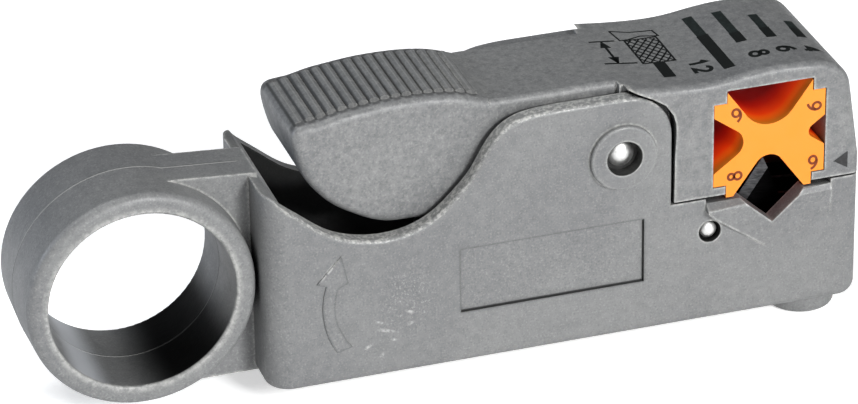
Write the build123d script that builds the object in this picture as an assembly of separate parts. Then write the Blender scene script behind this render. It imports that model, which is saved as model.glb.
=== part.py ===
from build123d import *
import math
import os

# Hand tool for stripping coaxial cable. Millimetres. X runs along the tool from the
# finger ring (-X) to the jaws (+X), Y across it (front face at -Y), Z up. The origin is
# the middle of the tool's underside, so the screw boss stands on Z = 0.

# Overall
HALF_WIDTH = 10.0
X_LEFT = -50.3
X_RIGHT = 50.3
BOSS_DROP = 2.7
Z_BOTTOM = BOSS_DROP

# Body shell
END_X = -22.7
WALL = 1.9
WALL_INNER = HALF_WIDTH - WALL
END_WALL = 2.2
FLOOR = 2.5
Z_FLOOR = Z_BOTTOM + FLOOR
CAVITY_RIGHT = 25.0
LOWER_JAW_TOP = 18.95
END_CORNER_R = 3.0
TOE_R = 2.0
BOTTOM_EDGE_R = 1.0
RIM_EDGE_R = 0.45
SHOULDER_X = 26.65
SHOULDER_R = 5.65
SHOULDER_Z = 28.1
WALL_TOP = SHOULDER_Z + SHOULDER_R

# Finger ring and its link to the body
RING_Z = 16.34
RING_INNER = 10.9
RING_WALL = 2.8
RING_FLARE = 0.2
RING_BARREL = 0.2
RING_OUTER = RING_INNER + RING_WALL
RING_OUTER_RIM = RING_OUTER - RING_BARREL
RING_INNER_RIM = RING_INNER + RING_FLARE
RING_HALF_WIDTH = 7.15
RING_EDGE_R = 1.0
RING_BORE_EDGE_R = 0.3
RING_X = X_LEFT + RING_OUTER
LINK_HALF_WIDTH = 3.4
LINK_TOP_BODY = 28.5
LINK_SINK = 0.45
LINK_CUT_R = 12.2

# Lever pivot
PIVOT_X = 20.5
PIVOT_Z = 26.45
PIVOT_R = 1.6
PIVOT_CLEAR = 0.06
PIVOT_BOSS_R = 4.1
PIVOT_BOSS_RISE = 0.7
PIVOT_SINK_R = 2.15
PIVOT_SINK_FLOOR = 9.0
PIVOT_PIN_END = 9.95
PIN_DOME = 0.75

# Blade pin
BLADE_PIN_X = 31.45
BLADE_PIN_Z = 14.6
BLADE_PIN_R = 1.0
BLADE_PIN_CLEAR = 0.06
BLADE_PIN_SINK_R = 1.37
BLADE_PIN_SINK_FLOOR = 8.9
BLADE_PIN_END = 9.95
BLADE_PIN_DOME = 0.5

# Label recess on the front wall
RECESS_X0 = 0.55
RECESS_X1 = 23.2
RECESS_Z0 = 9.45
RECESS_Z1 = 17.7
RECESS_DEPTH = 0.4

# Cable seat in the lower jaw
SEAT_X = 39.2
SEAT_Z = 14.75
SEAT_SLOPE = 42.4
LEDGE_Z = 18.4
PAD_RISE = 1.0
PAD_RISE_RIGHT = 0.35
PAD_X0 = 30.9
PAD_X1 = 46.7
PAD_TIP_X = 38.9
PAD_TIP_Z = 11.2
PAD_SIDE_Z = 17.4
PAD_CUT = 0.9
PAD_FRONT_Z = 17.7
PAD_ROOT = 0.6

# Blade pocket in the lower jaw
POCKET_X0 = 28.9
POCKET_X1 = 48.2
POCKET_HALF_WIDTH = 8.3
POCKET_FLOOR = 10.6

# Blades
BLADE_Y = (-4.0, 0.0, 4.0)
BLADE_THICK = 0.6
BLADE_DROP = (0.0, 1.3, 2.3)
BLADE_HUB_R = 2.25
BLADE_BOTTOM = 12.2
BLADE_TOP = 15.2
BLADE_END = 47.2
EDGE_FOOT = (37.28, 15.2)
EDGE_TIP = (40.5, 19.88)
BEVEL_WIDTH = 1.1
BEVEL_LAND = 0.08

# Blade spacers
SPACER_R = 1.9
SPACER_GAP = 0.05

# Depth screws and the boss that holds them
SCREW_X = 45.5
SCREW_R = 1.5
SCREW_CLEAR = 0.03
SCREW_LENGTH = 8.2
SCREW_TIP_GAP = 0.05
SCREW_TIP_R = 0.7
SCREW_HEX = 1.5
SCREW_HEX_DEPTH = 1.8
BOSS_R = 4.15
BOSS_END_Y = 8.1
BOSS_EDGE_R = 0.6
BOSS_ROOT = 1.4

# Lever
JAW_GAP = 0.25
JAW_BOTTOM = LOWER_JAW_TOP + JAW_GAP
NECK_HALF_WIDTH = 7.1
HUB_HALF_WIDTH = 7.9
HUB_R = 5.6
HUB_STEP_X = 20.8
LEVER_EDGE_R = 1.0
NECK_EDGE_R = 0.7
JAW_EDGE_R = 0.9
LEVER_UNDERSIDE = 20.8
LEVER_SKIN = 2.2

# Ribs on the thumb pad
RIB_COUNT = 17
RIB_PITCH = 1.28
RIB_X0 = -17.0
RIB_R = 0.78
RIB_SINK = 0.4
RIB_HALF_LENGTH = 6.0
RIB_END = 0.6

# Cable block and its window
BLOCK_SIZE = 13.9
BLOCK_X = 38.8
BLOCK_Z = 25.65
BLOCK_CORNER = 1.6
BLOCK_CLEAR = 0.1
BLOCK_FRONT = -9.9
BLOCK_BACK = 9.7
NOTCH_FLANK = 36.0
NOTCHES = (
    ("top", 5.1, 3.5),
    ("left", 3.7, 1.9),
    ("right", 2.0, 0.95),
    ("bottom", 4.8, 1.9),
)

# Return spring
SPRING_X = 1.5
SPRING_COIL_R = 2.9
SPRING_WIRE_R = 0.45
SPRING_WIRE_SIDES = 8
SPRING_TURNS = 6
SPRING_SEAT = 24.0
SPRING_POCKET_R = 3.8
SPRING_SPIGOT_R = 2.1
SPRING_SPIGOT_H = 2.5

# Outline of the side walls' top rim, from the shoulder down to the end wall
RIM = [
    (20.95, WALL_TOP), (13.0, WALL_TOP), (10.2, 33.62), (7.6, 33.1), (5.6, 31.85), (3.95, 29.75),
    (2.3, 26.95), (0.3, 24.7), (-2.2, 22.5), (-5.3, 21.05), (-8.4, 20.65), (-11.5, 21.0), (-14.6, 22.1),
    (-18.6, 25.1), (-21.2, 27.4), (END_X, 28.2),
]

# Top of the lever: thumb pad, then neck and jaw
PAD_TOP = [
    (-18.1, 34.5), (-15.5, 35.25), (-13.0, 35.75), (-10.3, 36.12), (-7.5, 36.4), (-4.0, 36.48),
    (-0.6, 36.3), (1.9, 35.9), (3.9, 35.3),
]
PAD_TAIL = [(5.4, 34.75), (7.4, 33.0)]
NECK_TOP = [
    (5.3, 34.75), (11.4, 34.72), (16.5, 34.75), (20.7, 34.65), (24.0, 34.3), (27.8, 33.98), (32.6, 33.98),
    (35.1, 34.3), (37.6, 34.6), (40.1, 34.72), (42.6, 34.62), (X_RIGHT - 5.6, 34.42), (X_RIGHT - 3.8, 33.98),
    (X_RIGHT - 2.3, 33.0), (X_RIGHT - 1.45, 31.6), (X_RIGHT - 1.15, 30.0),
]

# Nose of the lever, from the underside up to the pad: x, and height as a share of the nose
NOSE_TOP = 34.5
NOSE_SHAPE = [
    (-2.6, 0.0), (-6.6, 0.02), (-9.3, 0.075), (-11.6, 0.165), (-13.7, 0.268), (-15.7, 0.42), (-17.1, 0.58),
    (-17.8, 0.732), (-18.25, 0.884), (-18.3, 0.95), (-18.1, 1.0),
]
NOSE = [(x, LEVER_UNDERSIDE + share * (NOSE_TOP - LEVER_UNDERSIDE)) for x, share in NOSE_SHAPE]

# Edge of the jaw's outer flanks facing the body's shoulder
FLANK_EDGE = [
    (26.95, JAW_BOTTOM), (27.0, 24.7), (27.15, 28.7), (27.1, 29.5), (26.8, 30.6), (25.8, 32.1),
    (24.2, 33.15), (20.7, 34.9),
]


def at(points):
    """Points of a side view, placed on the tool's middle plane."""
    return [Vector(x, 0, z) for x, z in points]


def slab(face, y0, y1):
    """A side-view face given thickness from y0 to y1."""
    return Pos(0, y0, 0) * extrude(face, amount=y1 - y0, dir=(0, 1, 0))


def polygon(points):
    return make_face(Polyline(*at(points), close=True))


def rod(x, z, radius, y0, y1):
    """A cylinder across the tool."""
    return Pos(x, (y0 + y1) / 2, z) * Rot(90, 0, 0) * Cylinder(radius, y1 - y0)


def post(x, y, radius, z0, z1):
    """An upright cylinder."""
    return Pos(x, y, (z0 + z1) / 2) * Cylinder(radius, z1 - z0)


def domed_pin(x, z, radius, half_length, dome):
    """A pin across the tool, its two ends turned to a shallow spherical dome."""
    ball = (radius ** 2 + dome ** 2) / (2 * dome)
    half_angle = math.asin(radius / ball) / 2
    mid_r = ball * math.sin(half_angle)
    mid_y = half_length - ball + ball * math.cos(half_angle)
    straight = half_length - dome
    half = [
        Line((0, -half_length), (0, half_length)),
        ThreePointArc((0, half_length), (mid_r, mid_y), (radius, straight)),
        Line((radius, straight), (radius, -straight)),
        ThreePointArc((radius, -straight), (mid_r, -mid_y), (0, -half_length)),
    ]
    return Pos(x, 0, z) * revolve(make_face(Wire(half)), axis=Axis.Y)


def near(value, target, tol=0.02):
    return abs(value - target) < tol


# Body

def body_outline():
    """Outer side view of the body: straight underside, lower jaw, shoulder and curved rim."""
    right = X_RIGHT
    edges = [
        Line(*at([(END_X, Z_BOTTOM), (right, Z_BOTTOM)])),
        Line(*at([(right, Z_BOTTOM), (right, LOWER_JAW_TOP)])),
        Line(*at([(right, LOWER_JAW_TOP), (SHOULDER_X, LOWER_JAW_TOP)])),
        Line(*at([(SHOULDER_X, LOWER_JAW_TOP), (SHOULDER_X, SHOULDER_Z)])),
    ]
    centre_x = SHOULDER_X - SHOULDER_R
    middle = (centre_x + SHOULDER_R * math.cos(math.pi / 4), SHOULDER_Z + SHOULDER_R * math.sin(math.pi / 4))
    crown = (centre_x, WALL_TOP)
    edges.append(ThreePointArc(*at([(SHOULDER_X, SHOULDER_Z), middle, crown])))
    edges.append(Line(*at([crown, RIM[1]])))
    edges.append(Spline(*at(RIM[1:]), tangents=[Vector(-1, 0, 0), Vector(-1, 0, 0.25)]))
    edges.append(Line(*at([RIM[-1], (END_X, Z_BOTTOM)])))
    return make_face(Wire(edges))


def ring_section():
    """Half section of the finger ring: barrel outside and inside with rounded rims."""
    w = RING_HALF_WIDTH
    points = [
        (RING_INNER, 0), (RING_INNER_RIM, w), (RING_OUTER_RIM, w), (RING_OUTER, 0), (RING_OUTER_RIM, -w),
        (RING_INNER_RIM, -w),
    ]
    section = make_face(Polyline(*points, close=True))
    rims = [v for v in section.vertices() if near(abs(v.Y), w)]
    section = fillet([v for v in rims if near(v.X, RING_OUTER_RIM)], RING_EDGE_R)
    return fillet([v for v in section.vertices() if near(v.X, RING_INNER_RIM)], RING_BORE_EDGE_R)


def make_body():
    shell = slab(body_outline(), -HALF_WIDTH, HALF_WIDTH)

    def rim(e):
        c = e.center()
        return e.length > 4 and c.Z > 22 and near(abs(c.Y), HALF_WIDTH) and c.X < 21

    shell = fillet(shell.edges().filter_by(rim), RIM_EDGE_R)
    for side in (-1, 1):
        y = side * (HALF_WIDTH - END_CORNER_R / 2)
        block = Pos(END_X + END_CORNER_R / 2, y, 20) * Box(END_CORNER_R, END_CORNER_R, 60)
        y = side * (HALF_WIDTH - END_CORNER_R)
        block -= Pos(END_X + END_CORNER_R, y, 20) * Cylinder(END_CORNER_R, 60)
        shell -= block
    toe = shell.edges().filter_by(Axis.Y).filter_by(lambda e: near(e.center().Z, Z_BOTTOM))
    shell = fillet(toe.sort_by(Axis.X)[-1], TOE_R)
    sole = shell.faces().filter_by(Axis.Z).sort_by(Axis.Z)[0]
    shell = fillet(sole.edges().filter_by(lambda e: near(abs(e.center().Y), HALF_WIDTH, 0.01)), BOTTOM_EDGE_R)

    cavity = polygon([
        (END_X + END_WALL, Z_FLOOR), (CAVITY_RIGHT, Z_FLOOR), (CAVITY_RIGHT, LOWER_JAW_TOP),
        (SHOULDER_X + 1, LOWER_JAW_TOP), (SHOULDER_X + 1, 45), (END_X + END_WALL, 45),
    ])
    shell -= slab(cavity, -WALL_INNER, WALL_INNER)

    ring = Pos(RING_X, 0, RING_Z) * revolve(ring_section(), axis=Axis.Y)
    link = slab(polygon([
        (RING_X, RING_Z + RING_OUTER - LINK_SINK), (END_X + 1, LINK_TOP_BODY), (END_X + 1, Z_BOTTOM),
        (RING_X, Z_BOTTOM),
    ]), -LINK_HALF_WIDTH, LINK_HALF_WIDTH)
    link -= rod(RING_X, RING_Z, LINK_CUT_R, -LINK_HALF_WIDTH - 1, LINK_HALF_WIDTH + 1)
    body = shell + link + ring

    for side in (-1, 1):
        y0, y1 = sorted((side * (HALF_WIDTH - 0.5), side * (HALF_WIDTH + PIVOT_BOSS_RISE)))
        boss = rod(PIVOT_X, PIVOT_Z, PIVOT_BOSS_R, y0, y1)
        face_edge = boss.edges().filter_by(lambda e: near(e.center().Y, side * (HALF_WIDTH + PIVOT_BOSS_RISE)))
        body += fillet(face_edge, 0.25)
        body += cable_pad(side)

    foot = Pos(SCREW_X, 0, 0) * extrude(
        Rot(0, 0, 90) * SlotOverall(2 * BOSS_END_Y, 2 * BOSS_R), amount=Z_BOTTOM + BOSS_ROOT)
    foot = fillet(foot.faces().sort_by(Axis.Z)[0].edges(), BOSS_EDGE_R)
    body += foot

    body -= rod(PIVOT_X, PIVOT_Z, PIVOT_R, -12, 12)
    body -= rod(BLADE_PIN_X, BLADE_PIN_Z, BLADE_PIN_R, -12, 12)
    for side in (-1, 1):
        y0, y1 = sorted((side * PIVOT_SINK_FLOOR, side * 12))
        body -= rod(PIVOT_X, PIVOT_Z, PIVOT_SINK_R, y0, y1)
        y0, y1 = sorted((side * BLADE_PIN_SINK_FLOOR, side * 12))
        body -= rod(BLADE_PIN_X, BLADE_PIN_Z, BLADE_PIN_SINK_R, y0, y1)

    body -= Pos((RECESS_X0 + RECESS_X1) / 2, -HALF_WIDTH, (RECESS_Z0 + RECESS_Z1) / 2) * Box(
        RECESS_X1 - RECESS_X0, 2 * RECESS_DEPTH, RECESS_Z1 - RECESS_Z0)

    pocket = polygon([
        (POCKET_X0, POCKET_FLOOR), (POCKET_X1, POCKET_FLOOR), (POCKET_X1, LOWER_JAW_TOP + 1),
        (POCKET_X0, LOWER_JAW_TOP + 1),
    ])
    body -= slab(pocket, -POCKET_HALF_WIDTH, POCKET_HALF_WIDTH)
    relief = polygon([
        (PAD_X0, LEDGE_Z), (PAD_X1, LEDGE_Z), (PAD_X1, LOWER_JAW_TOP + 1), (PAD_X0, LOWER_JAW_TOP + 1),
    ])
    body -= slab(relief, -12, 12)
    reach = 8.0
    rise = reach * math.tan(math.radians(SEAT_SLOPE))
    seat = polygon([(SEAT_X, SEAT_Z), (SEAT_X + reach, SEAT_Z + rise), (SEAT_X - reach, SEAT_Z + rise)])
    body -= slab(seat, -12, 12)

    for y in BLADE_Y:
        body -= post(SCREW_X, y, SCREW_R, -1, POCKET_FLOOR + 1)

    spigot = post(SPRING_X, 0, SPRING_SPIGOT_R, Z_FLOOR - 0.5, Z_FLOOR + SPRING_SPIGOT_H)
    body += chamfer(spigot.edges().sort_by(Axis.Z)[-1], 0.5)
    return body


def cable_pad(side):
    """Raised wedge round the cable seat: its face leans, so it stands proud at the top left and runs out
    into the wall towards its tip and its right end."""
    lean_x = (PAD_RISE - PAD_RISE_RIGHT) / (PAD_X1 - PAD_X0)
    lean_z = (PAD_RISE - lean_x * (PAD_TIP_X - PAD_X0)) / (PAD_FRONT_Z - PAD_TIP_Z)
    runout = PAD_TIP_Z + lean_x * (PAD_X1 - PAD_TIP_X) / lean_z
    root = HALF_WIDTH - PAD_ROOT
    outline = [
        (PAD_X0, PAD_FRONT_Z), (PAD_X0, PAD_SIDE_Z), (PAD_X0 + PAD_CUT, PAD_SIDE_Z - PAD_CUT),
        (PAD_TIP_X, PAD_TIP_Z), (PAD_X1, runout), (PAD_X1, PAD_FRONT_Z),
    ]
    face = [(x, HALF_WIDTH + lean_z * (z - PAD_TIP_Z) - lean_x * (x - PAD_TIP_X), z) for x, z in outline]
    ledge = [(x, y, LEDGE_Z) for x in (PAD_X0, PAD_X1) for y in (root, HALF_WIDTH)]
    rear = [(x, root, z) for x, z in outline]
    return ConvexPolyhedron([(x, side * y, z) for x, y, z in face + ledge + rear])


# Lever

def pad_outline():
    """Side view of the lever's nose and thumb pad."""
    top = NOSE + PAD_TOP[1:] + PAD_TAIL
    end = (PAD_TAIL[-1][0], LEVER_UNDERSIDE)
    edges = [
        Spline(*at(top), tangents=[Vector(-1, 0, 0.3), Vector(0.7, 0, -0.8)]),
        Line(*at([top[-1], end])),
        Line(*at([end, top[0]])),
    ]
    return make_face(Wire(edges))


def neck_outline():
    """Side view of the neck and the front jaw."""
    start = (NECK_TOP[0][0], LEVER_UNDERSIDE)
    edges = [
        Line(*at([start, NECK_TOP[0]])),
        Spline(*at(NECK_TOP), tangents=[Vector(1, 0, 0), Vector(0.18, 0, -1)]),
        Line(*at([NECK_TOP[-1], (X_RIGHT, 21.5)])),
        Line(*at([(X_RIGHT, 21.5), (X_RIGHT, JAW_BOTTOM)])),
        Line(*at([(X_RIGHT, JAW_BOTTOM), (23.5, JAW_BOTTOM)])),
        Line(*at([(23.5, JAW_BOTTOM), (19.0, LEVER_UNDERSIDE)])),
        Line(*at([(19.0, LEVER_UNDERSIDE), start])),
    ]
    return make_face(Wire(edges))


def jaw_region():
    """The part of the side view that spreads to the full width of the tool."""
    edge = FLANK_EDGE
    return polygon(edge + [(edge[-1][0], 45), (60, 45), (60, JAW_BOTTOM)])


def make_lever():
    def long_edge(e):
        return near(abs(e.center().Y), NECK_HALF_WIDTH) and e.center().Z > 22 and e.length > 20

    pad = slab(pad_outline(), -NECK_HALF_WIDTH, NECK_HALF_WIDTH)
    pad = fillet(pad.edges().filter_by(long_edge), LEVER_EDGE_R)
    outline = neck_outline()
    neck = slab(outline, -NECK_HALF_WIDTH, NECK_HALF_WIDTH)
    neck = fillet(neck.edges().filter_by(long_edge).sort_by(Axis.Z)[-2:], NECK_EDGE_R)
    neck += pad

    hub_part = outline & polygon([(HUB_STEP_X, 0), (60, 0), (60, 60), (HUB_STEP_X, 60)])
    hub = slab(hub_part, -HUB_HALF_WIDTH, HUB_HALF_WIDTH)
    hub += rod(PIVOT_X, PIVOT_Z, HUB_R, -HUB_HALF_WIDTH, HUB_HALF_WIDTH)

    jaw = slab(outline & jaw_region(), -HALF_WIDTH, HALF_WIDTH)

    def jaw_edge(e):
        c = e.center()
        return near(abs(c.Y), HALF_WIDTH) and c.X > 25.5 and (c.Z > 33.0 or c.X > 49.0) and e.length > 1.5

    jaw = fillet(jaw.edges().filter_by(jaw_edge), JAW_EDGE_R)
    lever = neck + hub + jaw

    rib = rod(0, 0, RIB_R, -RIB_HALF_LENGTH, RIB_HALF_LENGTH)
    rib = chamfer(rib.edges().filter_by(GeomType.CIRCLE), RIB_END)
    for i in range(RIB_COUNT):
        x = RIB_X0 + i * RIB_PITCH
        lever += Pos(x, 0, pad_height(x) - RIB_SINK) * rib

    # moulded hollows either side of the spring seat
    inner = NECK_HALF_WIDTH - LEVER_SKIN
    for points in (
        [(-13.2, 10), (-13.2, 28.0), (-10.5, 33.6), (-3.4, 34.4), (-3.4, 10)],
        [(6.4, 10), (6.4, 32.6), (13.4, 32.6), (13.4, 10)],
    ):
        lever -= slab(polygon(points), -inner, inner)
    lever -= post(SPRING_X, 0, SPRING_POCKET_R, 10, SPRING_SEAT)

    lever -= rod(PIVOT_X, PIVOT_Z, PIVOT_R + PIVOT_CLEAR, -12, 12)
    window = polygon(plus_outline(BLOCK_SIZE + 2 * BLOCK_CLEAR, BLOCK_CORNER))
    lever -= slab(window, -12, 12)
    return lever


def pad_height(x):
    """Height of the thumb pad's surface at x, read off its outline."""
    for (x0, z0), (x1, z1) in zip(PAD_TOP, PAD_TOP[1:]):
        if x0 <= x <= x1:
            return z0 + (z1 - z0) * (x - x0) / (x1 - x0)
    return PAD_TOP[-1][1]


# Cable block

def plus_outline(size, corner):
    """A square with its four corners cut out square."""
    h = size / 2
    k = h - corner
    points = [(-k, -h), (k, -h), (k, -k), (h, -k), (h, k), (k, k), (k, h), (-k, h), (-k, k), (-h, k),
              (-h, -k), (-k, -k)]
    return [(BLOCK_X + x, BLOCK_Z + z) for x, z in points]


def notch(depth, radius):
    """A round-bottomed notch cut down from the block's top edge, its flanks tangent to the round."""
    h = BLOCK_SIZE / 2
    a = math.radians(NOTCH_FLANK)
    centre = h - depth + radius
    tx = radius * math.cos(a)
    tz = centre - radius * math.sin(a)
    mouth = h + 1.5
    wide = tx + (mouth - tz) * math.tan(a)
    edges = [
        ThreePointArc(*at([(-tx, tz), (0, centre - radius), (tx, tz)])),
        Line(*at([(tx, tz), (wide, mouth)])),
        Line(*at([(wide, mouth), (-wide, mouth)])),
        Line(*at([(-wide, mouth), (-tx, tz)])),
    ]
    return make_face(Wire(edges))


def make_block():
    block = slab(polygon(plus_outline(BLOCK_SIZE, BLOCK_CORNER)), BLOCK_FRONT, BLOCK_BACK)
    turn = {"top": 0, "right": 90, "bottom": 180, "left": 270}
    for name, depth, radius in NOTCHES:
        cut = slab(notch(depth, radius), -12, 12)
        block -= Pos(BLOCK_X, 0, BLOCK_Z) * Rot(0, turn[name], 0) * cut
    return block


# Blades, pins, spacers, screws and spring

def make_blade(y, drop):
    """Flat blade on the cross pin: an arm out to its screw and a tooth with one ground edge."""
    foot = (EDGE_FOOT[0], EDGE_FOOT[1] - 0.001)
    tip = (EDGE_TIP[0], EDGE_TIP[1] - drop)
    foot = (tip[0] - (tip[1] - foot[1]) * (EDGE_TIP[0] - EDGE_FOOT[0]) / (EDGE_TIP[1] - EDGE_FOOT[1]), foot[1])
    arm = polygon([
        (BLADE_PIN_X, BLADE_BOTTOM), (BLADE_END, BLADE_BOTTOM), (BLADE_END, BLADE_TOP - 0.6),
        (42.4, BLADE_TOP - 0.3), tip, foot, (BLADE_PIN_X + 1.8, BLADE_TOP), (BLADE_PIN_X, BLADE_TOP + 1.0),
    ])
    y0 = y - BLADE_THICK / 2
    y1 = y + BLADE_THICK / 2
    blade = slab(arm, y0, y1) + rod(BLADE_PIN_X, BLADE_PIN_Z, BLADE_HUB_R, y0, y1)
    blade -= rod(BLADE_PIN_X, BLADE_PIN_Z, BLADE_PIN_R + BLADE_PIN_CLEAR, y0 - 1, y1 + 1)
    along = math.atan2(tip[1] - foot[1], tip[0] - foot[0])
    grind = math.atan2(BLADE_THICK - BEVEL_LAND, BEVEL_WIDTH)
    length = 4 * BEVEL_WIDTH + math.dist(foot, tip)
    section = [(-1.0, y1 - BEVEL_LAND + math.tan(grind)), (BEVEL_WIDTH, y0), (BEVEL_WIDTH, y0 - 1), (-1.0, y0 - 1)]
    section = make_face(Polyline(*[Vector(0, v, -u) for u, v in section], close=True))
    wedge = Pos(-2 * BEVEL_WIDTH, 0, 0) * extrude(section, amount=length, dir=(1, 0, 0))
    blade -= Pos(foot[0], 0, foot[1]) * Rot(0, -math.degrees(along), 0) * wedge
    return blade


def make_spacer(y0, y1):
    tube = rod(BLADE_PIN_X, BLADE_PIN_Z, SPACER_R, y0, y1)
    return tube - rod(BLADE_PIN_X, BLADE_PIN_Z, BLADE_PIN_R + SPACER_GAP, y0 - 1, y1 + 1)


def make_screw(y):
    """Socket set screw standing under the end of one blade."""
    top = BLADE_BOTTOM - SCREW_TIP_GAP
    r = SCREW_R - SCREW_CLEAR
    taper = r - SCREW_TIP_R
    screw = post(SCREW_X, y, r, top - SCREW_LENGTH, top)
    screw = chamfer(screw.edges().sort_by(Axis.Z)[-1], taper * 0.7)
    screw = chamfer(screw.edges().sort_by(Axis.Z)[0], 0.2)
    socket = extrude(RegularPolygon(SCREW_HEX / 2, 6, major_radius=False), amount=SCREW_HEX_DEPTH)
    return screw - Pos(SCREW_X, y, top - SCREW_LENGTH) * socket


def make_spring():
    """Compression spring between the floor and the lever."""
    low = Z_FLOOR + 0.05
    high = SPRING_SEAT - 0.05
    height = high - low - 2 * SPRING_WIRE_R
    path = Helix(pitch=height / SPRING_TURNS, height=height, radius=SPRING_COIL_R)
    section = Plane(origin=path @ 0, z_dir=path % 0) * RegularPolygon(SPRING_WIRE_R, SPRING_WIRE_SIDES)
    return Pos(SPRING_X, 0, low + SPRING_WIRE_R) * sweep(section, path=path)


def make_parts():
    parts = {
        "body": make_body(),
        "jaw_lever": make_lever(),
        "cable_block": make_block(),
        "pivot_pin": domed_pin(PIVOT_X, PIVOT_Z, PIVOT_R, PIVOT_PIN_END, PIN_DOME),
        "blade_pin": domed_pin(BLADE_PIN_X, BLADE_PIN_Z, BLADE_PIN_R, BLADE_PIN_END, BLADE_PIN_DOME),
        "return_spring": make_spring(),
    }
    for i, (y, drop) in enumerate(zip(BLADE_Y, BLADE_DROP), start=1):
        parts[f"blade_{i}"] = make_blade(y, drop)
        parts[f"depth_screw_{i}"] = make_screw(y)

    half = BLADE_THICK / 2 + SPACER_GAP
    stops = [-POCKET_HALF_WIDTH - half + SPACER_GAP, *BLADE_Y, POCKET_HALF_WIDTH + half - SPACER_GAP]
    for i, (a, b) in enumerate(zip(stops, stops[1:]), start=1):
        parts[f"blade_spacer_{i}"] = make_spacer(a + half, b - half)
    return parts


def main():
    os.makedirs("parts", exist_ok=True)
    for name, solid in make_parts().items():
        export_step(solid, f"parts/{name}.step")


if __name__ == "__main__":
    main()
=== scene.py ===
import math

import bpy
import numpy as np
from mathutils import Matrix, Vector
from mathutils.bvhtree import BVHTree


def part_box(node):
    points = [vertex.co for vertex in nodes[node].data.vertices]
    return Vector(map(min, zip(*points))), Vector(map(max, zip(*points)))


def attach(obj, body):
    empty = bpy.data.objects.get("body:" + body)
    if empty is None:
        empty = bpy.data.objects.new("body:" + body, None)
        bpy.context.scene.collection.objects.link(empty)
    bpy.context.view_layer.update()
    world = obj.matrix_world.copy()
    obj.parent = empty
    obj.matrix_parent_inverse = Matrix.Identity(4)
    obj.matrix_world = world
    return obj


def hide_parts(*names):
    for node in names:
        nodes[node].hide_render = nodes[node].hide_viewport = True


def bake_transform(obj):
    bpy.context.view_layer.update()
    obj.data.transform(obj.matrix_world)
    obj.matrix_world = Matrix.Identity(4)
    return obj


# Coaxial cable stripper. The frame's solids carry the form; this script gives them their
# materials and adds the printed marks, the moulded arrow and the return spring.
# Lengths are in millimetres and MM turns them into metres.

MM = 0.001
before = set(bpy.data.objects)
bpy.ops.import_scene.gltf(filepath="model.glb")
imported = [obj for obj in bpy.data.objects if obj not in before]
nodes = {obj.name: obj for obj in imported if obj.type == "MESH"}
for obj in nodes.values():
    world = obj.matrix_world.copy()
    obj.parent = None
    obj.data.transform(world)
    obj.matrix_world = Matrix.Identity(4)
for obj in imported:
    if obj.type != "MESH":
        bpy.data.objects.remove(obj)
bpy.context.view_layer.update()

# Places on the tool: the front wall's distance from the middle, three centres as x, z, the ends of the sunk
# panel on the front, and the ribbed thumb pad
FRONT = 10.0
RING = (-36.6, 16.34)
PIVOT = (20.5, 26.45)
BLADE_PIN = (31.45, 14.6)
PANEL_X = (0.55, 23.2)
PANEL_Z = (9.45, 17.7)
RIB_START = -17.0
RIB_PITCH = 1.28
PAD_END_X = 4.3
PAD_LOW_Z = 34.0


def linear(colour):
    """sRGB hex to a linear colour."""
    parts = [int(colour[i:i + 2], 16) / 255 for i in (1, 3, 5)]
    return tuple(c / 12.92 if c <= 0.04045 else ((c + 0.055) / 1.055) ** 2.4 for c in parts) + (1.0,)


# Materials

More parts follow.
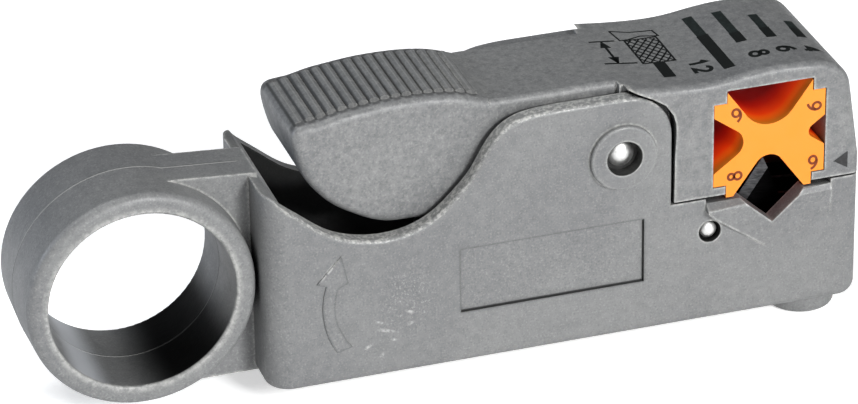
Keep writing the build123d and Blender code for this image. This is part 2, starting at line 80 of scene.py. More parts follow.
class Graph:
    """A material's node tree, with one call per node."""

    def __init__(self, name):
        self.material = bpy.data.materials.new(name)
        self.material.use_nodes = True
        self.tree = self.material.node_tree
        self.tree.nodes.clear()
        self.output = self.tree.nodes.new("ShaderNodeOutputMaterial")
        self.place = self.add("ShaderNodeTexCoord").outputs["Object"]
        parts = self.add("ShaderNodeSeparateXYZ", {"Vector": self.place}).outputs
        self.x = parts["X"]
        self.y = parts["Y"]
        self.z = parts["Z"]
        self.across = self.math("ABSOLUTE", self.y)

    def add(self, kind, inputs=None, **settings):
        """Adds a node. A value in inputs is either set on the socket or, if it is a socket, linked to it."""
        node = self.tree.nodes.new(kind)
        for key, value in settings.items():
            setattr(node, key, value)
        for key, value in (inputs or {}).items():
            if isinstance(value, bpy.types.NodeSocket):
                self.tree.links.new(value, node.inputs[key])
            else:
                node.inputs[key].default_value = value
        return node

    def noise(self, per_mm, detail=2.0, roughness=0.5, stretch=None):
        """Cloudy noise with so many patches to a millimetre."""
        where = self.place
        if stretch:
            where = self.add("ShaderNodeMapping", {"Vector": where, "Scale": stretch}).outputs["Vector"]
        settings = {"Vector": where, "Scale": per_mm / MM, "Detail": detail, "Roughness": roughness}
        return self.add("ShaderNodeTexNoise", settings).outputs["Fac"]

    def ramp(self, value, low, high, to_low=0.0, to_high=1.0, smooth=True):
        """Maps low to to_low and high to to_high, with a smooth or a straight run between them."""
        kind = "SMOOTHSTEP" if smooth else "LINEAR"
        settings = {"Value": value, "From Min": low, "From Max": high, "To Min": to_low, "To Max": to_high}
        return self.add("ShaderNodeMapRange", settings, interpolation_type=kind).outputs["Result"]

    def step(self, place, low, high):
        """0 at one place and 1 at the other, both in mm and in either order."""
        return self.ramp(place, low * MM, high * MM)

    def between(self, place, low, high, soft):
        """1 between two places in mm, fading to 0 over a width outside each."""
        return self.times(self.step(place, low - soft, low), self.step(place, high + soft, high))

    def math(self, operation, a, b=0.0):
        return self.add("ShaderNodeMath", {0: a, 1: b}, operation=operation).outputs["Value"]

    def times(self, *factors):
        """The product of all the values."""
        product = factors[0]
        for factor in factors[1:]:
            product = self.math("MULTIPLY", product, factor)
        return product

    def mix(self, factor, a, b, blend="MIX"):
        node = self.add("ShaderNodeMix", data_type="RGBA", blend_type=blend)
        for index, value in ((0, factor), (6, a), (7, b)):
            if isinstance(value, bpy.types.NodeSocket):
                self.tree.links.new(value, node.inputs[index])
            else:
                node.inputs[index].default_value = value
        return node.outputs[2]

    def tint(self, colour, mask, share, tone):
        """The colour, changed towards a tone by a share where the mask is 1."""
        return self.mix(self.times(mask, share), colour, linear(tone))

    def edges(self, radius):
        """1 on convex and concave edges, 0 on flats: how far a rounded normal leans from the true one."""
        soft = self.add("ShaderNodeBevel", {"Radius": radius * MM}, samples=6).outputs["Normal"]
        true = self.add("ShaderNodeNewGeometry").outputs["Normal"]
        dot = self.add("ShaderNodeVectorMath", {0: soft, 1: true}, operation="DOT_PRODUCT").outputs["Value"]
        return self.ramp(dot, 0.995, 0.86)

    def crevice(self, reach):
        """1 deep in gaps and holes, 0 in the open: how little of the surroundings a point sees."""
        node = self.add("ShaderNodeAmbientOcclusion", {"Distance": reach * MM}, samples=6)
        return self.ramp(node.outputs["AO"], 0.38, 0.15)

    def true_normal(self, axis):
        """One part of the direction that the face points in."""
        normal = self.add("ShaderNodeNewGeometry").outputs["True Normal"]
        return self.add("ShaderNodeSeparateXYZ", {"Vector": normal}).outputs[axis]

    def spot(self, x, z, rx, rz, inner=0.35, turn=0.0):
        """An oval patch on a side face, 1 from the middle out to the share `inner` of its radius. It may be
        turned by some degrees."""
        dx = self.math("SUBTRACT", self.x, x * MM)
        dz = self.math("SUBTRACT", self.z, z * MM)
        if turn:
            c = math.cos(math.radians(turn))
            s = math.sin(math.radians(turn))
            along = self.math("ADD", self.times(dx, c), self.times(dz, s))
            dz = self.math("SUBTRACT", self.times(dz, c), self.times(dx, s))
            dx = along
        dx = self.math("DIVIDE", dx, rx * MM)
        dz = self.math("DIVIDE", dz, rz * MM)
        distance = self.math("SQRT", self.math("ADD", self.times(dx, dx), self.times(dz, dz)))
        return self.ramp(distance, 1.0, inner)

    def disc(self, centre, radius, inner):
        return self.spot(*centre, radius, radius, inner)

    def bump(self, height, strength, distance, normal=None):
        settings = {"Height": height, "Strength": strength, "Distance": distance * MM}
        if normal is not None:
            settings["Normal"] = normal
        return self.add("ShaderNodeBump", settings).outputs["Normal"]

    def finish(self, **inputs):
        shader = self.add("ShaderNodeBsdfPrincipled", {k.replace("_", " "): v for k, v in inputs.items()})
        self.tree.links.new(shader.outputs["BSDF"], self.output.inputs["Surface"])
        return self.material


# Chalky strokes rubbed into the front, low down left of the sunk panel, and the last one a painted highlight
# along the edge of the arrow's head: x, z, length, width, turn
SCUFF_AND_GLINT_STROKES = [
    (-10.85, 7.0, 0.95, 0.30, 30),
    (-9.15, 9.85, 1.25, 0.26, -21),
    (-8.6, 8.75, 1.5, 0.34, -17),
    (-7.7, 7.4, 0.6, 0.24, -10),
    (-5.7, 9.2, 0.8, 0.28, 18),
    (-5.7, 10.75, 0.95, 0.30, -25),
    (-9.2, 5.5, 0.6, 0.28, 68),
    (-15.3, 17.9, 2.4, 0.30, 46.8),
]


def scuffs_and_arrow_glint(g):
    """Chalky strokes low on the front, in a field of fine bright scratches, with a painted highlight on the
    arrow's head.
    """
    strokes = 0.0
    for x, z, length, width, turn in SCUFF_AND_GLINT_STROKES:
        strokes = g.math("MAXIMUM", strokes, g.spot(x, z, length, width, 0.2, turn))
    strokes = g.times(strokes, g.ramp(g.noise(1.7, 4.0, 0.7), 0.40, 0.60, 0.1, 1.0))
    scratches = g.ramp(g.noise(2.6, 4.0, 0.8, stretch=(1.0, 1.0, 0.8)), 0.53, 0.66, 0.0, 0.75)
    field = g.times(g.spot(-6.0, 12.4, 5.2, 6.6, 0.2), scratches)
    return g.times(g.math("MAXIMUM", strokes, field), g.step(g.y, 0.8 - FRONT, 0.4 - FRONT))


def body_wear(g, colour, normal, broken):
    """What use has left on the body, along with painted shade and painted highlights. Gives colour, normal
    and the painted shade in the bore, which also dulls the sheen there.
    """
    # painted highlight: the front wall's rounded top, where it faces up, is painted pale in glittering
    # patches
    upward = g.ramp(g.true_normal("Z"), 0.15, 0.55)
    top = g.times(g.between(g.across, 8.3, 10.1, 0.2), g.between(g.x, -21.0, 26.0, 0.5))
    top = g.times(top, upward, g.between(g.z, 18.0, 34.0, 0.5), g.step(g.y, 0.0, -1.0))
    glitter = g.ramp(g.noise(1.9, 3.0, 0.6), 0.44, 0.64, 0.15, 1.0)
    colour = g.tint(colour, g.times(top, glitter), 0.6, "#c4c4bf")
    # real scuffs, with one painted highlight stroke on the arrow's head
    marks = scuffs_and_arrow_glint(g)
    colour = g.tint(colour, marks, 0.6, "#b8b8b6")
    normal = g.bump(marks, 0.5, 0.08, normal)
    # painted shade: the inner walls are painted near-black, as the shade deep inside the tool
    inside = g.times(g.step(g.across, 8.25, 8.05), g.between(g.x, -20.3, 48.3, 0.3), g.step(g.z, 2.72, 2.95))
    colour = g.tint(colour, inside, 0.95, "#0e0e0e")
    # painted shade round both pins, down in their counterbores
    painted_counterbore_shade = g.math("MAXIMUM", g.disc(PIVOT, 2.24, 0.97), g.disc(BLADE_PIN, 1.43, 0.96))
    colour = g.tint(colour, painted_counterbore_shade, 0.92, "#090908")
    # painted shade in the ring's bore, most at the bottom towards the body; it also dulls the sheen there
    bore = g.times(g.disc(RING, 11.3, 0.985), g.step(g.across, 7.0, 6.7))
    painted_bore_shade = g.times(bore, g.math("ADD", 0.10, g.spot(-30.4, 7.6, 9.4, 7.0, 0.3)))
    colour = g.tint(colour, painted_bore_shade, 0.93, "#0c0d0e")
    # and painted light, pale and bluish, low in the bore away from the body
    painted_bore_light = g.times(bore, g.spot(-43.6, 7.7, 4.0, 3.8, 0.1))
    colour = g.tint(colour, painted_bore_light, 0.85, "#bcbfc4")
    # painted highlight along the rim's inner edge, broken up in patches
    rim = g.math("SUBTRACT", g.disc(RING, 12.1, 0.94), g.disc(RING, 11.2, 0.98))
    rim = g.times(rim, g.step(g.across, 6.5, 6.9), broken)
    colour = g.tint(colour, rim, 0.5, "#b6b6b2")
    # painted shade along the lower and the right inner edge of the sunk panel
    lip_z = PANEL_Z[0] + 0.07
    lip_x = PANEL_X[1] - 0.07
    painted_panel_edge_shade = g.math("MAXIMUM", g.step(g.z, lip_z + 0.12, lip_z), g.step(g.x, lip_x - 0.12, lip_x))
    painted_panel_edge_shade = g.times(painted_panel_edge_shade, g.between(g.across, 9.5, 9.97, 0.02))
    painted_panel_edge_shade = g.times(painted_panel_edge_shade, g.between(g.x, PANEL_X[0] - 0.05, PANEL_X[1] + 0.1, 0.1))
    painted_panel_edge_shade = g.times(painted_panel_edge_shade, g.between(g.z, PANEL_Z[0] - 0.05, PANEL_Z[1] + 0.1, 0.1))
    colour = g.tint(colour, painted_panel_edge_shade, 0.85, "#101111")
    # thin flash line where the mould halves meet, round the ring and along its link: drawn dark on the sides,
    # with a painted highlight where it faces up
    flash = g.times(g.step(g.across, 0.17, 0.03), g.step(g.x, -22.8, -23.2))
    flash_tone_lit_on_top = g.mix(upward, linear("#38383a"), linear("#b4b4b0"))
    colour = g.mix(g.times(flash, 0.5), colour, flash_tone_lit_on_top)
    normal = g.bump(flash, 0.9, 0.12, normal)
    return colour, normal, g.times(painted_bore_shade, 0.8)


def lever_wear(g, colour, normal, broken):
    """Painted shade between the ribs of the thumb pad, painted highlights on their crests, and darker ribs'
    ends.
    """
    start = RIB_START - 3 * RIB_PITCH
    phase = g.math("FRACT", g.math("DIVIDE", g.math("SUBTRACT", g.x, start * MM), RIB_PITCH * MM))
    crest = g.times(g.math("ABSOLUTE", g.math("SUBTRACT", phase, 0.5)), 2.0)
    pad = g.times(g.step(g.z, PAD_LOW_Z, PAD_LOW_Z + 0.4), g.step(g.x, PAD_END_X, PAD_END_X - 0.3))
    middle_part = g.times(pad, g.step(g.across, 6.1, 5.8))
    end_part = g.times(pad, g.step(g.across, 5.1, 5.5), g.step(g.across, 6.5, 6.2))
    # painted shade in the grooves, a painted highlight on the crests, and the ribs' ends drawn darker
    colour = g.tint(colour, g.times(middle_part, g.ramp(crest, 0.42, 0.08)), 0.85, "#303131")
    colour = g.tint(colour, g.times(middle_part, g.ramp(crest, 0.82, 0.97)), 0.35, "#999996")
    colour = g.tint(colour, g.times(end_part, g.ramp(crest, 0.1, 0.5)), 0.6, "#3a3a3a")
    return colour, normal, 0.0


def moulded_nylon(name, coarse, wear):
    """Grey nylon from a spark-eroded mould: its even grain leaves no mirror, only a soft sheen. Along the
    edges handling has worn it smoother, and the colour there is painted paler, partly as wear and partly as a
    painted highlight."""
    g = Graph(name)
    # slow changes of tone, 14 mm wide, so a large flat never reads as one grey
    clouds = g.ramp(g.noise(0.07, 3.0), 0.32, 0.68)
    colour = g.mix(clouds, linear("#676869"), linear("#717272"))
    # mottle 0.9 mm wide and pigment speckle 0.23 mm wide, both finer on the real plastic and drawn as
    # coarse as the picture shows them
    mottle = g.noise(1.15, 2.0, 0.6)
    colour = g.mix(g.ramp(mottle, 0.45, 0.70, 0.0, 0.14 * coarse), colour, linear("#8e8e8c"))
    colour = g.mix(g.ramp(mottle, 0.50, 0.28, 0.0, 0.15 * coarse), colour, linear("#484949"))
    speckle = g.noise(4.3, 1.0)
    colour = g.mix(g.ramp(speckle, 0.56, 0.74, 0.0, 0.34), colour, linear("#979795"))
    colour = g.mix(g.ramp(speckle, 0.44, 0.27, 0.0, 0.34), colour, linear("#434445"))
    # edges painted pale, partly rubbed wear and partly a painted highlight, broken up so that they glitter in
    # places
    edge_band = g.edges(0.6)
    broken = g.ramp(g.noise(1.5, 3.0, 0.65), 0.34, 0.66, 0.2, 1.0)
    # the edges of the arrow and the sunk panel are left out of the wear and get painted shade instead
    sheltered = g.times(g.between(g.x, -17.5, PANEL_X[1] + 0.4, 0.2), g.between(g.z, 6.0, 19.6, 0.2))
    sheltered = g.times(sheltered, g.step(g.across, 9.4, 9.5))
    worn = g.times(edge_band, broken, g.math("SUBTRACT", 1.0, sheltered))
    colour = g.tint(colour, g.times(edge_band, sheltered), 0.6, "#3c3d3d")
    # the worn mask paints wear and a painted highlight on the edges
    colour = g.tint(colour, worn, 0.85, "#b6b6b2")
    gloss = g.ramp(g.noise(0.24, 3.0), 0.3, 0.7, 0.40, 0.52)
    gloss = g.math("SUBTRACT", gloss, g.times(worn, 0.18))
    # spark grain 0.3 mm wide, mottle, and slow waves 6 mm wide left by shrinking
    normal = g.bump(g.noise(3.4, 3.0, 0.6), 0.42, 0.05)
    normal = g.bump(g.noise(1.15, 2.0), 0.13 * coarse, 0.12, normal)
    normal = g.bump(g.noise(0.18, 2.0), 0.10, 0.20, normal)
    colour, normal, dull = wear(g, colour, normal, broken)
    # painted shade in seams and holes, where little of the surroundings is seen, joined by the wear's painted
    # shade; the foot stands free of it
    shade = g.times(g.crevice(1.6), g.step(g.z, 2.7, 3.3))
    shade = g.math("MAXIMUM", shade, dull)
    colour = g.mix(shade, colour, linear("#060606"))
    shine = g.ramp(shade, 0.0, 1.0, 0.5, 0.05)
    return g.finish(Base_Color=colour, Roughness=gloss, Normal=normal, Specular_IOR_Level=shine)


# Painted light: the orange deepens from the outer faces inwards, standing in for light soaked into the
# plastic: share of the depth, colour
ORANGE_DEPTHS = [(0.0, "#e48624"), (0.12, "#e96a10"), (0.36, "#d43606"), (0.70, "#a01206"), (1.0, "#6a0606")]


def orange_acetal():
    """Orange acetal, injection moulded: satin and slightly see-through. Its notch walls are painted deep red
    as they run in and given a painted glow, standing in for light that soaks through."""
    g = Graph("orange acetal, injection moulded, satin")
    depth = g.ramp(g.across, 9.6 * MM, 3.0 * MM, smooth=False)
    ramp = g.add("ShaderNodeValToRGB", {"Fac": depth})
    stops = ramp.color_ramp.elements
    while len(stops) < len(ORANGE_DEPTHS):
        stops.new(1.0)
    for stop, (share, colour) in zip(stops, ORANGE_DEPTHS):
        stop.position = share
        stop.color = linear(colour)
    # faint flow marks from the mould gate, 3 mm wide and drawn out across the block
    flow = g.noise(0.3, 2.0, stretch=(1.0, 0.3, 1.0))
    colour = g.mix(g.ramp(flow, 0.35, 0.7, 0.0, 0.25), ramp.outputs["Color"], linear("#ffb24a"), "SOFT_LIGHT")
    grain = g.bump(g.noise(2.6, 2.0), 0.12, 0.03)
    # painted glow: the notch walls emit light, standing in for light that has soaked through the plastic
    glow = g.ramp(depth, 0.02, 0.3, 0.0, 0.38)
    return g.finish(Base_Color=colour, Roughness=0.38, Normal=grain, Specular_IOR_Level=0.4,
                    Emission_Color=colour, Emission_Strength=glow)


def bright_steel(name, tone, rough, stretch):
    """Steel, turned or drawn, whose uneven surface breaks up its highlights. Patches 1 mm wide are pressed
    along one axis into the rings that a lathe leaves; at 0.2 mm they are drawn coarser than real ones."""
    g = Graph(name)
    lines = g.noise(0.9, 4.0, 0.7, stretch=stretch)
    colour = g.mix(g.ramp(lines, 0.3, 0.7), linear(tone), linear("#e2e2e0"))
    # a dull bloom of handling in soft patches
    rough = g.ramp(g.noise(0.5, 2.0), 0.3, 0.75, rough, rough + 0.14)
    return g.finish(Base_Color=colour, Metallic=1.0, Roughness=rough, Normal=g.bump(lines, 0.15, 0.01))


def blued_blade():
    """Blade strip, blued in hardening and painted nearly black, partly as painted shade inside the jaw, so
    that only the ground bevel is bright.
    """
    g = Graph("blade strip steel, blued, ground on one edge")
    bright = g.ramp(g.math("ABSOLUTE", g.true_normal("Y")), 0.97, 0.93)
    lines = g.noise(1.3, 4.0, 0.7, stretch=(0.5, 1.0, 3.0))
    # the flat's near-black is partly painted shade
    blued = g.mix(g.ramp(lines, 0.3, 0.7), linear("#0c0c0d"), linear("#1d1d1f"))
    ground = g.mix(g.ramp(lines, 0.3, 0.7), linear("#3a3b3d"), linear("#6c6e70"))
    colour = g.mix(bright, blued, ground)
    return g.finish(Base_Color=colour, Metallic=0.9, Roughness=0.36, Normal=g.bump(lines, 0.15, 0.01))


def black_oxide():
    """Set screw blackened in hot oxide: a dull black with the high spots turned brown-grey."""
    g = Graph("set screw steel, black oxide")
    patches = g.ramp(g.noise(1.4, 3.0), 0.35, 0.7)
    colour = g.mix(patches, linear("#1c1c1e"), linear("#3b3835"))
    return g.finish(Base_Color=colour, Metallic=0.8, Roughness=0.42, Normal=g.bump(patches, 0.2, 0.02))


def pad_print(name, dark, pale):
    """Pad-printed ink: matt, a little uneven and thinner over the plastic's grain."""
    g = Graph(name)
    thin = g.ramp(g.noise(2.2, 3.0, 0.6), 0.40, 0.75)
    colour = g.mix(thin, linear(dark), linear(pale))
    grain = g.bump(g.noise(3.4, 3.0, 0.6), 0.25, 0.04)
    return g.finish(Base_Color=colour, Roughness=0.6, Normal=grain, Specular_IOR_Level=0.3)


body_nylon = moulded_nylon("body nylon, grey, moulded with fine spark grain", 1.0, body_wear)
lever_nylon = moulded_nylon("lever nylon, grey, moulded with fine spark grain", 1.9, lever_wear)
block_acetal = orange_acetal()
pin_steel = bright_steel("pin steel, turned bright", "#e4e4e2", 0.36, (1.0, 6.0, 1.0))
blade_steel = blued_blade()
tube_steel = bright_steel("spacer tube steel, plain", "#77797a", 0.34, (1.0, 5.0, 1.0))
wire_steel = bright_steel("spring wire steel, drawn", "#8a8b8c", 0.28, (1.0, 1.0, 1.0))
screw_steel = black_oxide()
ink = pad_print("scale ink, near-black, pad printed", "#060a09", "#0c1110")
ink_pale = pad_print("scale ink, worn thin by the thumb", "#121918", "#202827")
mark_ink = pad_print("triangle ink, dark grey, pad printed", "#29292a", "#363637")
brown_ink = pad_print("block figures, brown hot stamp", "#6a2c0c", "#7f3b15")

finishes = {
    "body": body_nylon,
    "jaw_lever": lever_nylon,
    "cable_block": block_acetal,
    "pivot_pin": pin_steel,
    "blade_pin": pin_steel,
    "return_spring": wire_steel,
}
for i in (1, 2, 3):
    finishes[f"blade_{i}"] = blade_steel
    finishes[f"depth_screw_{i}"] = screw_steel
for i in (1, 2, 3, 4):
    finishes[f"blade_spacer_{i}"] = tube_steel
for name, material in finishes.items():
    mesh = nodes[name].data
    mesh.materials.clear()
    mesh.materials.append(material)


# Geometry helpers

def new_object(name, vertices, faces, material, body=None, smooth=False):
    mesh = bpy.data.meshes.new(name)
    mesh.from_pydata([tuple(v) for v in vertices], [], [tuple(f) for f in faces])
    mesh.materials.append(material)
    mesh.polygons.foreach_set("use_smooth", [smooth] * len(mesh.polygons))
    mesh.update()
    obj = bpy.data.objects.new(name, mesh)
    bpy.context.scene.collection.objects.link(obj)
    if body:
        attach(obj, body)
    return obj


def surface_of(node):
    mesh = nodes[node].data
    mesh.calc_loop_triangles()
    points = [v.co.copy() for v in mesh.vertices]
    return BVHTree.FromPolygons(points, [tuple(t.vertices) for t in mesh.loop_triangles])


def ribbon(points, width, lane=0.3):
    """A flat ribbon along a polyline: each point is spread half the width to both sides of the line's mean
    direction there, lengthened where the line bends so that the ribbon keeps its width. Wide ribbons get
    several lanes, so that they can follow a curved surface."""
    p = np.array(points, float)
    step = np.diff(p, axis=0)
    step /= np.linalg.norm(step, axis=1)[:, None]
    side = np.stack([-step[:, 1], step[:, 0]], 1)
    mean = np.vstack([side[:1], side[:-1] + side[1:], side[-1:]])
    mean /= np.linalg.norm(mean, axis=1)[:, None]
    nearest = np.vstack([side[:1], side])
    stretch = 1 / np.clip((mean * nearest).sum(1), 0.5, 1)
    mean *= (width / 2 * stretch)[:, None]
    lanes = max(1, math.ceil(width / lane))
    spread = np.linspace(1, -1, lanes + 1)
    vertices = (p[:, None] + spread[None, :, None] * mean[:, None]).reshape(-1, 2)
    row = lanes + 1
    faces = [(i * row + j, i * row + j + 1, (i + 1) * row + j + 1, (i + 1) * row + j)
             for i in range(len(p) - 1) for j in range(lanes)]
    return vertices, faces


def densify(points, longest):
    """The same polyline with no piece longer than the given length."""
    out = [points[0]]
    for a, b in zip(points, points[1:]):
        n = max(1, math.ceil(math.dist(a, b) / longest))
        out += [(a[0] + (b[0] - a[0]) * k / n, a[1] + (b[1] - a[1]) * k / n) for k in range(1, n + 1)]
    return out


def arc(cx, cy, rx, ry, start, end, n=18):
    """Points on an ellipse between two angles in degrees."""
    turn = np.radians(np.linspace(start, end, n))
    return [(cx + rx * math.cos(t), cy + ry * math.sin(t)) for t in turn]


# Plain figures, each a few pen strokes in a box 0.6 wide and 1 high, and the step from one to the next
FIGURES = {
    "1": [[(0.10, 0.74), (0.34, 1.0), (0.34, 0.0)]],
    "2": [arc(0.30, 0.70, 0.27, 0.28, 165, -38) + [(0.03, 0.03), (0.60, 0.03)]],
    "4": [[(0.44, 0.0), (0.44, 1.0), (0.02, 0.30), (0.62, 0.30)]],
    "6": [arc(0.30, 0.31, 0.27, 0.29, 150, -210, 26), arc(0.62, 0.34, 0.60, 0.64, 98, 178, 12)],
    "8": [arc(0.30, 0.27, 0.28, 0.27, 90, 450, 26), arc(0.30, 0.77, 0.23, 0.22, -90, 270, 24)],
    "9": [arc(0.30, 0.69, 0.27, 0.29, -30, 330, 26), arc(-0.02, 0.66, 0.60, 0.64, -82, -2, 12)],
}
FIGURE_MIDDLE = (0.3, 0.5)
FIGURE_STEP = 0.88


def figure_strokes(text, origin, along, up, size, pen):
    """Pen strokes of a number with their width, in plane coordinates: it reads along one direction and stands
    along another."""
    strokes = []
    for k, digit in enumerate(text):
        for stroke in FIGURES[digit]:
            points = np.array(stroke) + (k * FIGURE_STEP, 0)
            placed = np.array(origin) + size * (points @ np.array([along, up]))
            strokes.append(([tuple(p) for p in placed], pen))
    return strokes


def print_marks(name, strokes, node, direction, material, body, lift=0.02, thickness=0.03):
    """Lays flat ribbons (strokes with their widths, in mm) on a node's surface, looking along a direction:
    "down" takes points as x, y and "back" takes them as x, z."""
    tree = surface_of(node)
    flat = []
    faces = []
    for points, width in strokes:
        vertices, quads = ribbon(densify(points, longest=0.6), width)
        faces += [tuple(i + len(flat) for i in quad) for quad in quads]
        flat += [tuple(v) for v in vertices]
    # the rays start clear of the tool, above it or in front of it
    down = direction == "down"
    way = Vector((0, 0, -1)) if down else Vector((0, 1, 0))
    placed = []
    for a, b in flat:
        start = (a, b, 60) if down else (a, -40, b)
        hit = tree.ray_cast(Vector([v * MM for v in start]), way)[0]
        placed.append(hit - way * lift * MM)
    if not down:
        faces = [face[::-1] for face in faces]
    obj = new_object(name, placed, faces, material, body)
    solid = obj.modifiers.new("thickness", "SOLIDIFY")
    solid.thickness = thickness * MM
    solid.offset = -1.0
    return obj


# Scale on the jaw: four bars with their cable sizes. The lower part of each bar is printed again, wider and
# darker. Each bar is x, its two ends and the step between in y, and its width.

BARS = [
    (34.75, 7.1, 1.9, -7.2, 1.25),
    (38.3, 6.6, 0.65, -1.95, 1.2),
    (42.1, 4.5, 0.75, -1.95, 1.15),
    (45.75, 2.2, 0.2, -2.4, 1.1),
]
SECOND_PRINT = 1.12
for x, top, change, bottom, width in BARS:
    name = f"scale_bar_{round(x)}"
    print_marks(name + "_upper", [([(x, top), (x, change)], width)], "jaw_lever", "down", ink_pale, "lever")
    lower = [([(x, change), (x, bottom)], width * SECOND_PRINT)]
    print_marks(name + "_lower", lower, "jaw_lever", "down", ink, "lever")

# The cable sizes beside the bars: number, corner where it starts, height
LABELS = [
    ("12", (30.8, -3.55), 2.1),
    ("8", (37.95, -4.95), 2.15),
    ("6", (41.45, -4.75), 2.1),
    ("4", (44.6, -5.25), 2.0),
]
strokes = []
for text, corner, size in LABELS:
    strokes += figure_strokes(text, corner, (0.0, -1.0), (1.0, 0.0), size, 0.5)
print_marks("scale_figures", strokes, "jaw_lever", "down", ink, "lever")


# Pictogram: a cable end with its jacket cut back, the braid and the core, and the strip length

JACKET = [
    (24.8, 6.7), (27.2, 6.0), (29.9, 5.9), (30.15, 4.3), (28.0, 4.75), (26.3, 4.1), (25.2, 3.95), (24.8, 6.7),
]
BRAID = [(25.7, 3.85), (29.75, 4.15), (29.75, -2.55), (25.7, -2.65), (25.7, 3.85)]
HATCH_SLOPE = 0.75
MARK_X = 22.8
MARK_LINES = [
    ([(21.3, 4.0), (24.5, 4.0)], 0.28),
    ([(21.1, -2.1), (25.1, -2.3)], 0.3),
    ([(MARK_X, 2.6), (MARK_X, -1.0)], 0.32),
]


def hatching(x0, x1, y0, y1, slope, pen):
    """Slanting lines 1 mm apart, cut off at the sides of a box."""
    lines = []
    y = np.linspace(y0, y1, 60)
    for k in range(-7, 12):
        for lean in (slope, -slope):
            x = x0 + k + lean * (y - y0)
            inside = np.flatnonzero((x0 <= x) & (x <= x1))
            if len(inside) > 4:
                lines.append(([(x[i], y[i]) for i in inside[[0, -1]]], pen))
    return lines


lines = [(JACKET, 0.22), (BRAID, 0.24)]
lines += hatching(BRAID[0][0], BRAID[1][0], BRAID[2][1], BRAID[0][1], HATCH_SLOPE, 0.21)
lines += MARK_LINES
for tip, root in ((3.8, 2.2), (-2.0, -0.4)):
    for aside in (-0.55, -0.36, -0.18, 0.0, 0.18, 0.36, 0.55):
        lines.append(([(MARK_X + aside, root), (MARK_X, tip)], 0.22))
print_marks("pictogram_lines", lines, "jaw_lever", "down", ink, "lever")
print_marks("pictogram_core", [([(27.6, -2.65), (27.55, -6.7)], 1.5)], "jaw_lever", "down", ink, "lever")


# Figures on the block: number, middle, turn in degrees

BLOCK_FIGURES = [
    ("9", (34.7, 29.35), 28),
    ("6", (44.35, 28.9), 90),
    ("9", (44.4, 21.5), 8),
    ("8", (34.5, 21.35), 90),
]
BLOCK_FIGURE_SIZE = 1.7
strokes = []
for text, centre, turn in BLOCK_FIGURES:
    c = math.cos(math.radians(turn))
    s = math.sin(math.radians(turn))
    axes = np.array([(c, s), (-s, c)])
    corner = np.array(centre) - BLOCK_FIGURE_SIZE * np.array(FIGURE_MIDDLE) @ axes
    strokes += figure_strokes(text, corner, axes[0], axes[1], BLOCK_FIGURE_SIZE, 0.31)
print_marks("block_figures", strokes, "cable_block", "back", brown_ink, "block")

# Triangle beside the block, printed as twelve upright lines that touch

TRIANGLE_TIP = (47.0, 21.2)
TRIANGLE_LENGTH = 1.7
TRIANGLE_HALF = 1.05
rows = []
for share in np.linspace(0.02, 0.98, 12):
    x = TRIANGLE_TIP[0] + TRIANGLE_LENGTH * share
    half = TRIANGLE_HALF * share
    rows.append(([(x, TRIANGLE_TIP[1] - half), (x, TRIANGLE_TIP[1] + half)], 0.16))
print_marks("index_triangle", rows, "jaw_lever", "back", mark_ink, "lever")


# Moulded arrow on the front

ARROW_RISE = 0.16
ARROW = [
    (-12.7, 7.4), (-13.4, 8.4), (-13.9, 9.4), (-14.4, 10.6), (-14.6, 11.6), (-14.7, 12.8), (-14.6, 13.8),
    (-14.3, 15.3), (-13.0, 15.9), (-13.8, 19.6), (-16.9, 16.3), (-15.75, 15.9), (-16.1, 14.5), (-16.25, 13.0),
    (-16.2, 11.9), (-16.0, 10.5), (-15.6, 9.0), (-15.2, 8.0), (-14.6, 6.9),
]


def raised_outline(name, outline, y, rise, material, body, sunk=0.1):
    """A raised flat shape on a side face: its outline lifted off the wall, with sides back into it."""
    n = len(outline)
    front = [(x * MM, (y - rise) * MM, z * MM) for x, z in outline]
    back = [(x * MM, (y + sunk) * MM, z * MM) for x, z in outline]
    faces = [tuple(range(n))]
    faces += [(i, n + i, n + (i + 1) % n, (i + 1) % n) for i in range(n)]
    faces.append(tuple(range(2 * n - 1, n - 1, -1)))
    obj = new_object(name, front + back, faces, material, body)
    bevel = obj.modifiers.new("soft edge", "BEVEL")
    bevel.width = 0.08 * MM
    bevel.segments = 2
    return obj


raised_outline("turn_arrow", ARROW, -FRONT, ARROW_RISE, body_nylon, "handle")


# Return spring

SPRING_X = 1.5
SPRING_R = 2.9
WIRE_R = 0.42
SPRING_TURNS = 6
COIL_STEPS = 40
WIRE_SIDES = 10


def coil(name, x, low, high, turns, material, radius=SPRING_R, wire=WIRE_R):
    """A round wire swept along a helix with closed ends: the height climbs by one wire thickness over the
    first and the last turn and evenly between them. Ring points sit on a circle square to the helix."""
    n = COIL_STEPS * turns
    m = WIRE_SIDES
    t = np.linspace(0, 1, n + 1)
    turn = 2 * math.pi * turns * t
    closed = 1.0 / turns
    height = high - low
    climb = np.interp(t, [0, closed, 1 - closed, 1], [0, wire * 2, height - wire * 4, height - wire * 2])
    centre = np.stack([x + radius * np.cos(turn), radius * np.sin(turn), low + wire + climb], 1)
    tangent = np.gradient(centre, axis=0)
    tangent /= np.linalg.norm(tangent, axis=1)[:, None]
    out = np.stack([np.cos(turn), np.sin(turn), np.zeros(n + 1)], 1)
    up = np.cross(tangent, out)
    a = np.linspace(0, 2 * math.pi, m, endpoint=False)
    ring = out[:, None] * np.cos(a)[None, :, None] + up[:, None] * np.sin(a)[None, :, None]
    points = (centre[:, None] + wire * ring).reshape(-1, 3) * MM
    faces = [(i * m + j, i * m + (j + 1) % m, (i + 1) * m + (j + 1) % m, (i + 1) * m + j)
             for i in range(n) for j in range(m)]
    faces += [tuple(range(m - 1, -1, -1)), tuple(n * m + j for j in range(m))]
    return new_object(name, points, faces, material, smooth=True)


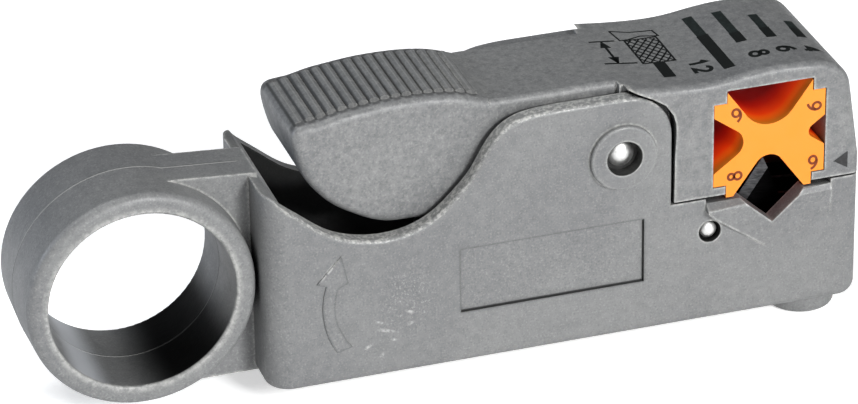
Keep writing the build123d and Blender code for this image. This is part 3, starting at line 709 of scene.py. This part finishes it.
low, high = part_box("return_spring")
spring = coil("return_spring_coil", SPRING_X, low.z / MM, high.z / MM, SPRING_TURNS, wire_steel)
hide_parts("return_spring")
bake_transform(spring)


# Studio, in metres

def area(name, place, aim, size, power, colour="#ffffff"):
    light = bpy.data.lights.new(name, "AREA")
    light.shape = "RECTANGLE"
    light.size, light.size_y = size
    light.energy = power
    light.color = linear(colour)[:3]
    obj = bpy.data.objects.new(name, light)
    bpy.context.scene.collection.objects.link(obj)
    obj.location = place
    obj.rotation_euler = (Vector(aim) - Vector(place)).to_track_quat("-Z", "Y").to_euler()
    return obj


def studio_floor():
    """A sheet of pale paper, a little cloudy, on a lit table: some light comes up through it, more towards
    the camera."""
    g = Graph("studio paper, pale")
    paper = g.mix(g.noise(0.008), linear("#fdfdfd"), linear("#f8f8f8"))
    seen = g.add("ShaderNodeLightPath").outputs["Is Camera Ray"]
    lit = g.ramp(seen, 0.0, 1.0, 0.14, 0.5, smooth=False)
    finish = g.finish(Base_Color=paper, Roughness=0.9, Emission_Color=paper, Emission_Strength=lit)
    mesh = bpy.data.meshes.new("studio_floor")
    mesh.from_pydata([(-4, -4, 0), (4, -4, 0), (4, 4, 0), (-4, 4, 0)], [], [(0, 1, 2, 3)])
    mesh.materials.append(finish)
    floor = bpy.data.objects.new("studio_floor", mesh)
    # a hair under the tool's foot
    floor.location.z = -0.00005
    bpy.context.scene.collection.objects.link(floor)


def studio_world():
    """Weak grey light from all round, and plain white where the camera looks past the floor."""
    world = bpy.data.worlds.new("studio")
    bpy.context.scene.world = world
    world.use_nodes = True
    tree = world.node_tree
    tree.nodes.clear()
    path = tree.nodes.new("ShaderNodeLightPath")
    glow = tree.nodes.new("ShaderNodeBackground")
    white = tree.nodes.new("ShaderNodeBackground")
    both = tree.nodes.new("ShaderNodeMixShader")
    out = tree.nodes.new("ShaderNodeOutputWorld")
    glow.inputs["Color"].default_value = linear("#e9eef2")
    glow.inputs["Strength"].default_value = 0.1
    white.inputs["Color"].default_value = (1, 1, 1, 1)
    white.inputs["Strength"].default_value = 1.0
    tree.links.new(path.outputs["Is Camera Ray"], both.inputs["Fac"])
    tree.links.new(glow.outputs["Background"], both.inputs[1])
    tree.links.new(white.outputs["Background"], both.inputs[2])
    tree.links.new(both.outputs["Shader"], out.inputs["Surface"])


studio_floor()
studio_world()
TOOL = (0, 0, 0.015)
area("key", (0.31, -0.94, 0.50), TOOL, (0.24, 0.24), 11.4)
area("front fill", (-0.35, -1.0, 0.50), TOOL, (0.7, 0.4), 1.6)
area("low fill", (0.16, -0.94, 0.06), (0, 0, 0.006), (0.5, 0.08), 2.3)
area("top fill", (-0.36, 0.10, 1.05), TOOL, (0.5, 0.5), 6.0)
area("left rim", (-0.95, 0.35, 0.30), TOOL, (0.35, 0.35), 3.2, "#cfdcf0")


# Camera, fitted to the body's corners in the photograph: its place and its right, up and back directions

CAMERA_PLACE = (-0.13957, -0.44263, 0.26498)
CAMERA_RIGHT = (0.95115226, -0.30834869, -0.01518116)
CAMERA_UP = (0.15713912, 0.44122182, 0.88353303)
CAMERA_BACK = (-0.26574, -0.84276, 0.46812)
camera_data = bpy.data.cameras.new("camera")
camera_data.sensor_width = 36.0
camera_data.sensor_fit = "HORIZONTAL"
camera_data.lens = 187.85
camera_data.clip_start = 0.01
camera = bpy.data.objects.new("camera", camera_data)
bpy.context.scene.collection.objects.link(camera)
turn = Matrix((CAMERA_RIGHT, CAMERA_UP, CAMERA_BACK)).transposed()
camera.matrix_world = Matrix.Translation(CAMERA_PLACE) @ turn.to_4x4()
bpy.context.scene.camera = camera
bpy.context.scene.view_settings.view_transform = "Standard"
